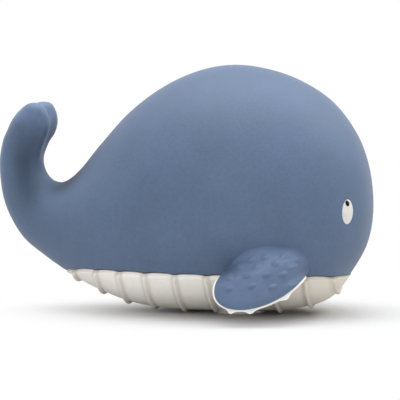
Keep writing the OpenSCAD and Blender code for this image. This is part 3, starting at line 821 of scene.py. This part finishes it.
class WHALE_OT_belly(bpy.types.Operator):
    """Make the white belly with its ribs and the boss that holds the squeaker"""

    bl_idname = "whale.belly"
    bl_label = "Belly"

    def execute(self, context):
        toy = context.scene.whale_toy
        form, belly = Form(toy), toy.belly
        fine = np.linspace(form.front + TIP_SECTIONS, form.rear - TIP_SECTIONS, BELLY_SAMPLES)
        bottom = form.point(fine, np.full_like(fine, -math.pi / 2))
        way = np.concatenate([[0], np.cumsum(np.linalg.norm(np.diff(bottom, axis=0), axis=1))])
        t = np.interp(np.linspace(0, way[-1], toy.rows), way, fine)
        rib_way = np.interp(-form.ribs, -form.section(fine)[:, 2], way)
        rib_gap = np.abs(np.interp(t, fine, way)[:, None] - rib_way).min(1)
        start = form.line_angle(t)[:, None]
        a = start - (math.pi + 2 * start) * crowded(BELLY_COLUMNS, BELLY_CROWDING)
        t = np.broadcast_to(t[:, None], a.shape)
        rib_gap = np.broadcast_to(rib_gap[:, None], a.shape)
        points = form.point(t, a)
        edge_gap = edge_distance(points)
        # A rounded lip: the edge starts under the blue skin and soon stands proud of it
        lift = belly.lip * (2 * (1 - bell(edge_gap / LIP_ROUNDING)) - 1)
        lift = lift - belly.lip * LIP_FALL_SHARE * ease(edge_gap / LIP_FALL)
        points = points + lift[..., None] * form.normal(t, a)
        ahead = np.linspace(1, -1, toy.rows)[:, None]
        # Painted shade towards both ends, and a darker tone at the foot of each rib and low down
        hollow = belly_shade(rib_gap, belly.rib_width, ahead, points[..., 2])
        # The boss fills a hole round the squeaker's axis
        flat = points.reshape(-1, 3)
        axis_x = SQUEAKER_SHARE * toy.body.long
        out = np.hypot(flat[:, 0] - axis_x, flat[:, 1]) < BOSS_HOLE_RADIUS
        faces = [f[::-1] for f in grid_faces(*a.shape) if not out[f].any()]
        marks = {"rib_gap": rib_gap.ravel(), "edge_gap": edge_gap.ravel(), "hollow": hollow.ravel()}
        white = white_rubber(toy.colours)
        obj = piece("ribbed_belly", flat, faces, attributes=marks)
        ribs = relief_tree("belly ribs", "rib_gap", RIB_FADE, True)
        raise_relief(obj, ribs, belly.rib_height, belly.rib_width / 2, white)
        settle(thicken(obj, belly.wall))
        boss = boss_piece(axis_x, white)
        with edited(obj.data) as shape:
            bmesh.ops.delete(shape, geom=[v for v in shape.verts if not v.link_faces], context="VERTS")
            shape.from_mesh(boss.data)
        bpy.data.objects.remove(boss)
        smooth(obj.data)
        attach(obj, "body")
        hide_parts("belly_shell")
        return {"FINISHED"}


# Middle of a flipper in shares of the length, its root above that in shares of its half width, and the
# softness of its flare in shares of its width
FLIPPER_SHARE, ROOT_SHARE, SOFT_SHARE = 0.245, 0.85, 0.12
# Bumps on a flipper, along and across it, in shares of its half length and half width
BUMP_SHARES = (
    (-0.07, 0.72), (0.22, 0.61), (0.57, 0.36), (0.80, 0.02), (-0.34, 0.66),
    (0.01, 0.42), (0.37, 0.25), (0.65, -0.13), (-0.58, 0.45), (-0.23, 0.28),
    (0.13, 0.01), (0.43, -0.22), (-0.66, 0.10), (-0.21, -0.14), (0.16, -0.49),
)
# Length of a bump along and across the flipper, in shares of its round size
BUMP_LONG, BUMP_WIDE = 1.25, 0.85
# A flipper grows out of the flank over this share of its half width, and this height above the colour line
GROW_SHARE, GROW_HEIGHT = 0.9, 0.004
# Its edge sinks into the skin from this radius outwards, and from this height over the colour line upwards,
# each with the way over which it does so
SINK_RADIUS, SINK_HEIGHT = (0.55, 0.45), (-0.0015, 0.0055)
# How much further the root reaches up the flank, and its middle and spread in degrees round the flipper
ROOT_REACH, ROOT_DEGREES, ROOT_SPREAD = 0.25, 97, 30
# How suddenly the blade and the backing round over at the edge, and the glue gap between them
BLADE_EDGE_POWER, BACK_EDGE_POWER, GLUE_GAP = 16, 30, 0.00005
# How deep the sunk edge lies in the skin: the blade's outer side, its inner side beyond that, which meets
# the outer one over the last part of the radius, the backing's inner side, and its outer side above that
BLADE_OUTER_DEPTH, BLADE_INNER_EXTRA, BLADE_CLOSING = 0.0003, 0.0007, (0.9, 0.1)
BACK_INNER_DEPTH, BACK_OUTER_LIFT = 0.0025, 0.001
# Rings and spokes of the blade's outer side, its inner side and the backing
BLADE_RINGS, BLADE_INNER_RINGS, BLADE_SPOKES, BACK_RINGS, BACK_SPOKES = 80, 16, 200, 40, 320
# Painted light on the blade at least, how much more it is at the top, and the radius and the height over
# which it takes the flank's colour
BLADE_LIGHT_LEAST, BLADE_LIGHT_TOP, JOIN_RADIUS, JOIN_HEIGHT = 0.25, 0.6, (0.72, 0.22), 0.003
# The backing's edge above the colour line in shares of the outline, and where it draws back to that
HIDDEN_SHARE, HIDING_HEIGHT = 0.62, (0.0005, 0.002)
# Nubs on the white rim and their spread, in degrees round the flipper
NUB_DEGREES, NUB_SPREAD = (220, 245, 286), 5


class Flipper:
    """The left flipper in metres. On it u runs along and v across, both from -1 to 1."""

    def __init__(self, toy):
        size = toy.flippers
        self.form, self.size = Form(toy), size
        self.half_long, self.half_wide = size.long / 2, size.wide / 2
        self.sine, self.cosine = math.sin(size.slope), math.cos(size.slope)
        self.middle_x = FLIPPER_SHARE * toy.body.long
        self.root = size.middle + ROOT_SHARE * self.half_wide
        self.soft = SOFT_SHARE * size.wide
        self.line = toy.belly.line_middle

    def place(self, u, v):
        """x and z of a point."""
        x = self.middle_x + self.half_long * u * self.cosine - self.half_wide * v * self.sine
        return x, self.size.middle + self.half_long * u * self.sine + self.half_wide * v * self.cosine

    def face(self, x, z):
        """y of the inner face, which leans outwards below the root."""
        below = self.root - z
        below = (below + np.sqrt(below**2 + self.soft**2)) / 2
        return self.form.flank(x, z + below) + self.size.stand_off + self.size.flare * below

    def grown(self, x, z, v, y):
        """y of a point that grows out of the flank above the colour line, thicker further down."""
        grow = 1 - (1 - ease((1 - v) / GROW_SHARE)) * ease((z - self.line) / GROW_HEIGHT)
        flank = self.form.flank(x, z)
        return flank + (y - flank) * grow

    def sunk(self, x, z, r, y, depth):
        """y of a point that sinks into the skin at the upper edge."""
        merge = ramp(r, *SINK_RADIUS) * ramp(z - self.line, *SINK_HEIGHT)
        return y * (1 - merge) + (self.form.flank(x, z) - depth) * merge

    def swell(self, spoke):
        """Outline of the blade, whose root reaches further up the flank."""
        reach = 1 + ROOT_REACH * bell((np.degrees(spoke) - ROOT_DEGREES) / ROOT_SPREAD)
        return reach, reach

    def blade(self, count, outer):
        """Points of one side of the blade, with their radius, u and v."""
        size = self.size
        r, u, v = rings(count, BLADE_SPOKES, self.swell)
        x, z = self.place(u, v)
        y = self.grown(x, z, v, self.face(x, z) + size.backing + GLUE_GAP)
        depth = BLADE_OUTER_DEPTH
        if outer:
            dome = size.edge * np.sqrt(1 - np.minimum(1, r**BLADE_EDGE_POWER))
            y = y + (dome + (size.blade - size.edge) * np.sqrt(np.maximum(0, 1 - r * r)))
        else:
            depth = depth + BLADE_INNER_EXTRA * (1 - ramp(r, *BLADE_CLOSING))
        return np.stack([x, self.sunk(x, z, r, y, depth), z], -1), r, u, v

    def bump_gap(self, u, v):
        """Distance from the nearest bump. Bumps are longer along the flipper than across it."""
        stretch = np.array([self.half_long / BUMP_LONG, self.half_wide / BUMP_WIDE])
        flat = np.stack([u, v], -1) * stretch
        return np.linalg.norm(flat[..., None, :] - np.array(BUMP_SHARES) * stretch, axis=-1).min(-1)

    def lightening(self, r, z):
        """Painted light: the blade is paler further up, and takes the flank's colour at its upper edge."""
        joined = ramp(r, *JOIN_RADIUS) * ease((z - self.line) / JOIN_HEIGHT)
        return (BLADE_LIGHT_LEAST + BLADE_LIGHT_TOP * ease((z - self.size.middle) / self.half_wide)) * (1 - joined)

    def rim(self, spoke):
        """Outline of the backing. Its rim shows only below the colour line."""
        high = self.place(np.cos(spoke), np.sin(spoke))[1] - self.line
        low = 1 - ramp(high, *HIDING_HEIGHT)
        nubs = bell((np.degrees(spoke)[:, None] - NUB_DEGREES) / NUB_SPREAD).sum(1)
        wide = self.size.rim + self.size.nub * nubs
        halves = self.half_long, self.half_wide
        return [HIDDEN_SHARE + (1 - HIDDEN_SHARE + wide / half) * low for half in halves]

    def back(self, level):
        """Points of one side of the backing: level 0 is the inner side, 1 the outer one."""
        r, u, v = rings(BACK_RINGS, BACK_SPOKES, self.rim)
        x, z = self.place(u, v)
        rounded = np.sqrt(1 - np.minimum(1, r**BACK_EDGE_POWER))
        y = self.grown(x, z, v, self.face(x, z) + self.size.backing * (0.5 + (level - 0.5) * rounded))
        depth = BACK_INNER_DEPTH - BACK_OUTER_LIFT * level
        return np.stack([x, self.sunk(x, z, np.hypot(u, v), y, depth), z], -1)


class WHALE_OT_flippers(bpy.types.Operator):
    """Make both flippers: a bumpy blue blade on a white backing whose rim shows below"""

    bl_idname = "whale.flippers"
    bl_label = "Flippers"

    def execute(self, context):
        toy = context.scene.whale_toy
        flipper, size = Flipper(toy), toy.flippers
        outer, r, u, v = flipper.blade(BLADE_RINGS, True)
        points, faces = lens_mesh(outer, flipper.blade(BLADE_INNER_RINGS, False)[0])
        marks = {
            "bump_gap": on_outer(flipper.bump_gap(u, v), len(points), 1.0),
            # painted light, paler further up the blade
            "worn": on_outer(flipper.lightening(r, outer[..., 2]), len(points), 0.0),
        }
        white_points, white_faces = lens_mesh(flipper.back(1.0), flipper.back(0.0))
        tree = relief_tree("flipper bumps", "bump_gap", 0, False)
        hinge_x, hinge_z = flipper.place(0, 1)
        for side, turn in SIDES:
            body = side + "_flipper"
            obj = piece(body + "_blade", turn(points), faces, attributes=marks, closed=True)
            raise_relief(obj, tree, size.bump_height, size.bump_radius, blue_rubber(toy.colours))
            settle(obj)
            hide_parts(body)
            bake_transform(obj)
            white = white_rubber(toy.colours)
            obj = piece(body + "_back", turn(white_points), white_faces, white, closed=True)
            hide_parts(body + "_backing")
            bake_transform(obj)
        return {"FINISHED"}


# Middle of an eye on the way along the sections and as an angle, and the step by which the skin is measured
EYE_WAY, EYE_ANGLE, EYE_STEP = 0.099, math.radians(-6), 0.02
# Rings and spokes of the white and of the pupil
EYE_RINGS, EYE_SPOKES = 24, 72
# How full the pillow of the white is, how far its edge is let into the skin, and how deep its back lies
PILLOW_POWER, EYE_INSET, EYE_DEPTH = 0.6, 0.0001, 0.0008
# The pupil's place above and behind the middle in shares of the free room, and its height in shares of its
# width
PUPIL_UP_SHARE, PUPIL_BACK_SHARE, PUPIL_TALL_SHARE = 0.86, 0.35, 1.15
# How far the pupil is domed, how far its edge is let into the white, and how deep its back lies in it
PUPIL_DOME, PUPIL_INSET, PUPIL_DEPTH = 0.00028, 0.00012, 0.0003


class EyePatch:
    """The skin round the left eye in metres: u runs forwards and v upwards from the middle of the eye."""

    def __init__(self, toy):
        self.form, self.size = Form(toy), toy.eyes
        t, a = np.array(EYE_WAY * LAST), np.array(EYE_ANGLE)
        point = self.form.point
        self.t, self.a = t, a
        self.along = np.linalg.norm(point(t + EYE_STEP, a) - point(t - EYE_STEP, a)) / (2 * EYE_STEP)
        self.up = np.linalg.norm(point(t, a + EYE_STEP) - point(t, a - EYE_STEP)) / (2 * EYE_STEP)

    def lifted(self, u, v, lift):
        """Points at a height above the skin."""
        t, a = self.t - u / self.along, self.a + v / self.up
        return self.form.point(t, a) + lift[..., None] * self.form.normal(t, a)

    def pillow(self, u, v):
        """Height of the white."""
        share = np.minimum(1, (2 * u / self.size.wide) ** 2 + (2 * v / self.size.high) ** 2)
        return self.size.thick * (1 - share) ** PILLOW_POWER

    def white(self):
        """Points and faces of the white."""
        _, u, v = rings(EYE_RINGS, EYE_SPOKES, lambda spoke: (self.size.wide / 2, self.size.high / 2))
        top = self.pillow(u, v) - EYE_INSET
        return lens_mesh(self.lifted(u, v, top), self.lifted(u, v, np.minimum(top, -EYE_DEPTH)))

    def pupil(self):
        """Points and faces of the pupil, which lies on the white."""
        radius = self.size.pupil_wide / 2
        r, u, v = rings(EYE_RINGS, EYE_SPOKES, lambda spoke: (radius, radius * PUPIL_TALL_SHARE))
        u = u - PUPIL_BACK_SHARE * (self.size.wide / 2 - radius)
        v = v + PUPIL_UP_SHARE * (self.size.high / 2 - radius)
        level = self.pillow(u, v)
        top = level + PUPIL_DOME * np.sqrt(np.maximum(0, 1 - r * r)) - PUPIL_INSET
        return lens_mesh(self.lifted(u, v, top), self.lifted(u, v, np.minimum(top, level - PUPIL_DEPTH)))


class WHALE_OT_eyes(bpy.types.Operator):
    """Make both eyes: a low white pillow on the skin and a pupil near its top"""

    bl_idname = "whale.eyes"
    bl_label = "Eyes"

    def execute(self, context):
        toy = context.scene.whale_toy
        colours, patch = toy.colours, EyePatch(toy)
        # Enamels: a half gloss, duller on the pupil
        paint = shared(
            "eye white enamel", lambda name: hard_finish(name, colours.eye, roughness=0.38, speckle_mm=0.8)
        )
        black = shared(
            "pupil black enamel",
            lambda name: hard_finish(name, colours.pupil, roughness=0.45, speckle_mm=0.6, ior=1.2),
        )
        white, pupil = patch.white(), patch.pupil()
        for side, turn in SIDES:
            for (points, faces), name, node, slot, material in (
                (white, "_eye", "_eye_white", "eye_white", paint),
                (pupil, "_eye_pupil", "_pupil", "pupil_black", black),
            ):
                obj = piece(side + name, turn(points), faces, material, closed=True)
                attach(obj, "body")
                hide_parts(side + node)
        return {"FINISHED"}


class WHALE_OT_squeaker(bpy.types.Operator):
    """Give the squeaker's CAD solids their finishes"""

    bl_idname = "whale.squeaker"
    bl_label = "Squeaker"

    def execute(self, context):
        colours = context.scene.whale_toy.colours
        # Moulded plastics have a soft even gloss, and rolled brass a sharper one with a fine speckle
        plastic = shared(
            "ivory polypropylene",
            lambda name: hard_finish(name, colours.plastic, roughness=0.4, speckle_mm=0.7),
        )
        block = shared(
            "tan ABS", lambda name: hard_finish(name, colours.block, roughness=0.35, speckle_mm=0.6)
        )
        brass = shared(
            "rolled brass",
            lambda name: hard_finish(name, colours.brass, roughness=0.3, speckle_mm=0.3, metal=1.0),
        )
        for node, material in (
            ("squeaker_cup", plastic),
            ("squeaker_cap", plastic),
            ("reed_block", block),
            ("reed_clamp", block),
            ("reed_tongue", brass),
        ):
            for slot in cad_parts[node].material_slots:
                slot.material = material
        return {"FINISHED"}


# The oval round which the paper fades to white: its middle, how much narrower it is across, and the radius
# at which the fade starts and ends
OVAL_MIDDLE, OVAL_NARROWING, FADE_START, FADE_END = (0.022, -0.003, 0), (1, 1.5, 0), 0.018, 0.09
# How bright the camera sees the paper, in shares of its colour, and the floor's half width and drop
SEEN_TINT, FLOOR_HALF, FLOOR_DROP = 0.85, 3.0, 0.00005
# Softboxes: what each one is named for, its size and its place
SOFTBOXES = (
    ("top", 1.2, (-0.12, -0.04, 1.3)),
    ("front", 0.9, (0.15, -1.3, 0.45)),
    ("head", 0.9, (0.85, 0.35, 1.05)),
    ("tail", 0.9, (-1.05, 0.1, 0.85)),
)
# The whale's middle, how far to the right of it and below it the camera aims, and the width of its sensor
WHALE_MIDDLE, AIM_RIGHT, AIM_DOWN, SENSOR_MM = Vector((0, 0, 0.04)), 0.005, 0.00468, 36


def seen_directly(tree):
    """The output of nodes that tell what the camera sees, also in a gloss, from what lights the toy."""
    path = add(tree, "ShaderNodeLightPath")
    seen = path, "Is Camera Ray"
    for ray in ("Is Glossy Ray", "Is Transmission Ray"):
        seen = add(tree, "ShaderNodeMath", {0: seen, 1: (path, ray)}, operation="MAXIMUM"), 0
    return seen


def studio_paper(colour):
    """Matt paper. The camera sees it fade to white round an oval under the front half of the belly, so that
    the shadow is dark only there."""
    made, tree = new_material("studio paper")
    seen = seen_directly(tree)
    place = add(tree, "ShaderNodeTexCoord")
    oval = add(tree, "ShaderNodeVectorMath", {0: (place, "Object"), 1: OVAL_MIDDLE}, operation="SUBTRACT")
    oval = add(tree, "ShaderNodeVectorMath", {0: (oval, 0), 1: OVAL_NARROWING}, operation="MULTIPLY")
    oval = add(tree, "ShaderNodeVectorMath", {0: (oval, 0)}, operation="LENGTH")
    fade = add(
        tree,
        "ShaderNodeMapRange",
        {0: (oval, "Value"), 1: FADE_START, 2: FADE_END, 3: 0.0, 4: 1.0},
        interpolation_type="SMOOTHSTEP",
    )
    fade = add(tree, "ShaderNodeMath", {0: seen, 1: (fade, 0)}, operation="MULTIPLY")
    dimmed = tint(colour, SEEN_TINT)
    shown = add(tree, "ShaderNodeMix", {0: seen, 6: rgba(colour), 7: dimmed}, data_type="RGBA")
    paper = add(tree, "ShaderNodeBsdfDiffuse", {"Color": (shown, 2)})
    light = add(tree, "ShaderNodeEmission", {"Strength": 1.0})
    both = add(tree, "ShaderNodeMixShader", {0: (fade, 0), 1: (paper, 0), 2: (light, 0)})
    add(tree, "ShaderNodeOutputMaterial", {"Surface": (both, 0)})
    return made


def studio_world(sky):
    """A world that the camera sees white, and that lights the toy more weakly."""
    world = bpy.data.worlds.new("studio")
    world.use_nodes = True
    tree = world.node_tree
    tree.nodes.clear()
    seen = seen_directly(tree)
    level = add(tree, "ShaderNodeMix", {0: seen, 2: sky, 3: 1.0}, data_type="FLOAT")
    white = add(tree, "ShaderNodeBackground", {"Color": (1, 1, 1, 1), "Strength": (level, 0)})
    add(tree, "ShaderNodeOutputWorld", {"Surface": (white, 0)})
    return world


def put(scene, name, data, place, look):
    """Puts a lamp or a camera at a place, looking along a direction."""
    obj = bpy.data.objects.new(name, data)
    obj.location = place
    obj.rotation_euler = look.to_track_quat("-Z", "Y").to_euler()
    scene.collection.objects.link(obj)
    return obj


class WHALE_OT_stage(bpy.types.Operator):
    """Make the studio: a pale floor, soft light from above, in front and both ends, and the camera"""

    bl_idname = "whale.stage"
    bl_label = "Stage"

    def execute(self, context):
        scene, toy = context.scene, context.scene.whale_toy
        stage = toy.stage
        scene.view_settings.view_transform = "Standard"
        signs = ((-1, -1), (1, -1), (1, 1), (-1, 1))
        corners = np.array([(x * FLOOR_HALF, y * FLOOR_HALF, -FLOOR_DROP) for x, y in signs])
        paper = studio_paper(toy.colours.floor)
        piece("studio_floor", corners, [(0, 1, 2, 3)], paper)
        scene.world = studio_world(stage.sky)
        for end, size, place in SOFTBOXES:
            lamp = bpy.data.lights.new(end + "_softbox", "AREA")
            lamp.energy = getattr(stage, end + "_power")
            lamp.size = size
            put(scene, end + "_softbox", lamp, Vector(place), WHALE_MIDDLE - Vector(place))
        turn, tilt = stage.turn, stage.rise
        back = Vector((math.sin(turn) * math.cos(tilt), -math.cos(turn) * math.cos(tilt), math.sin(tilt)))
        right = Vector((math.cos(turn), math.sin(turn), 0))
        above = right.cross(-back)
        aim = WHALE_MIDDLE + right * AIM_RIGHT - above * AIM_DOWN
        camera = bpy.data.cameras.new("camera")
        camera.lens, camera.sensor_width = stage.lens, SENSOR_MM
        scene.camera = put(scene, "camera", camera, aim + back * stage.away, -back)
        return {"FINISHED"}


class WHALE_PT_panel(bpy.types.Panel):
    bl_idname = "WHALE_PT_panel"
    bl_label = "Squeaky whale"
    bl_space_type = "VIEW_3D"
    bl_region_type = "UI"
    bl_category = "Whale"

    def draw(self, context):
        toy = context.scene.whale_toy
        for group in (toy, toy.body, toy.belly, toy.flippers, toy.eyes, toy.colours, toy.stage):
            box = self.layout.box()
            for key in group.__annotations__:
                if not isinstance(getattr(group, key), bpy.types.PropertyGroup):
                    box.prop(group, key)
        for operator in OPERATORS:
            self.layout.operator(operator.bl_idname)


OPERATORS = (
    WHALE_OT_stage,
    WHALE_OT_skin,
    WHALE_OT_belly,
    WHALE_OT_flippers,
    WHALE_OT_eyes,
    WHALE_OT_squeaker,
)
GROUPS = (WhaleBody, WhaleBelly, WhaleFlippers, WhaleEyes, WhaleColours, WhaleStage, WhaleToy)
CLASSES = (*GROUPS, *OPERATORS, WHALE_PT_panel)


def register():
    for cls in CLASSES:
        bpy.utils.register_class(cls)
    bpy.types.Scene.whale_toy = PointerProperty(type=WhaleToy)


def unregister():
    del bpy.types.Scene.whale_toy
    for cls in reversed(CLASSES):
        bpy.utils.unregister_class(cls)


def main():
    register()
    bpy.ops.whale.stage()
    bpy.ops.whale.skin()
    bpy.ops.whale.belly()
    bpy.ops.whale.flippers()
    bpy.ops.whale.eyes()
    bpy.ops.whale.squeaker()


if __name__ == "__main__":
    main()
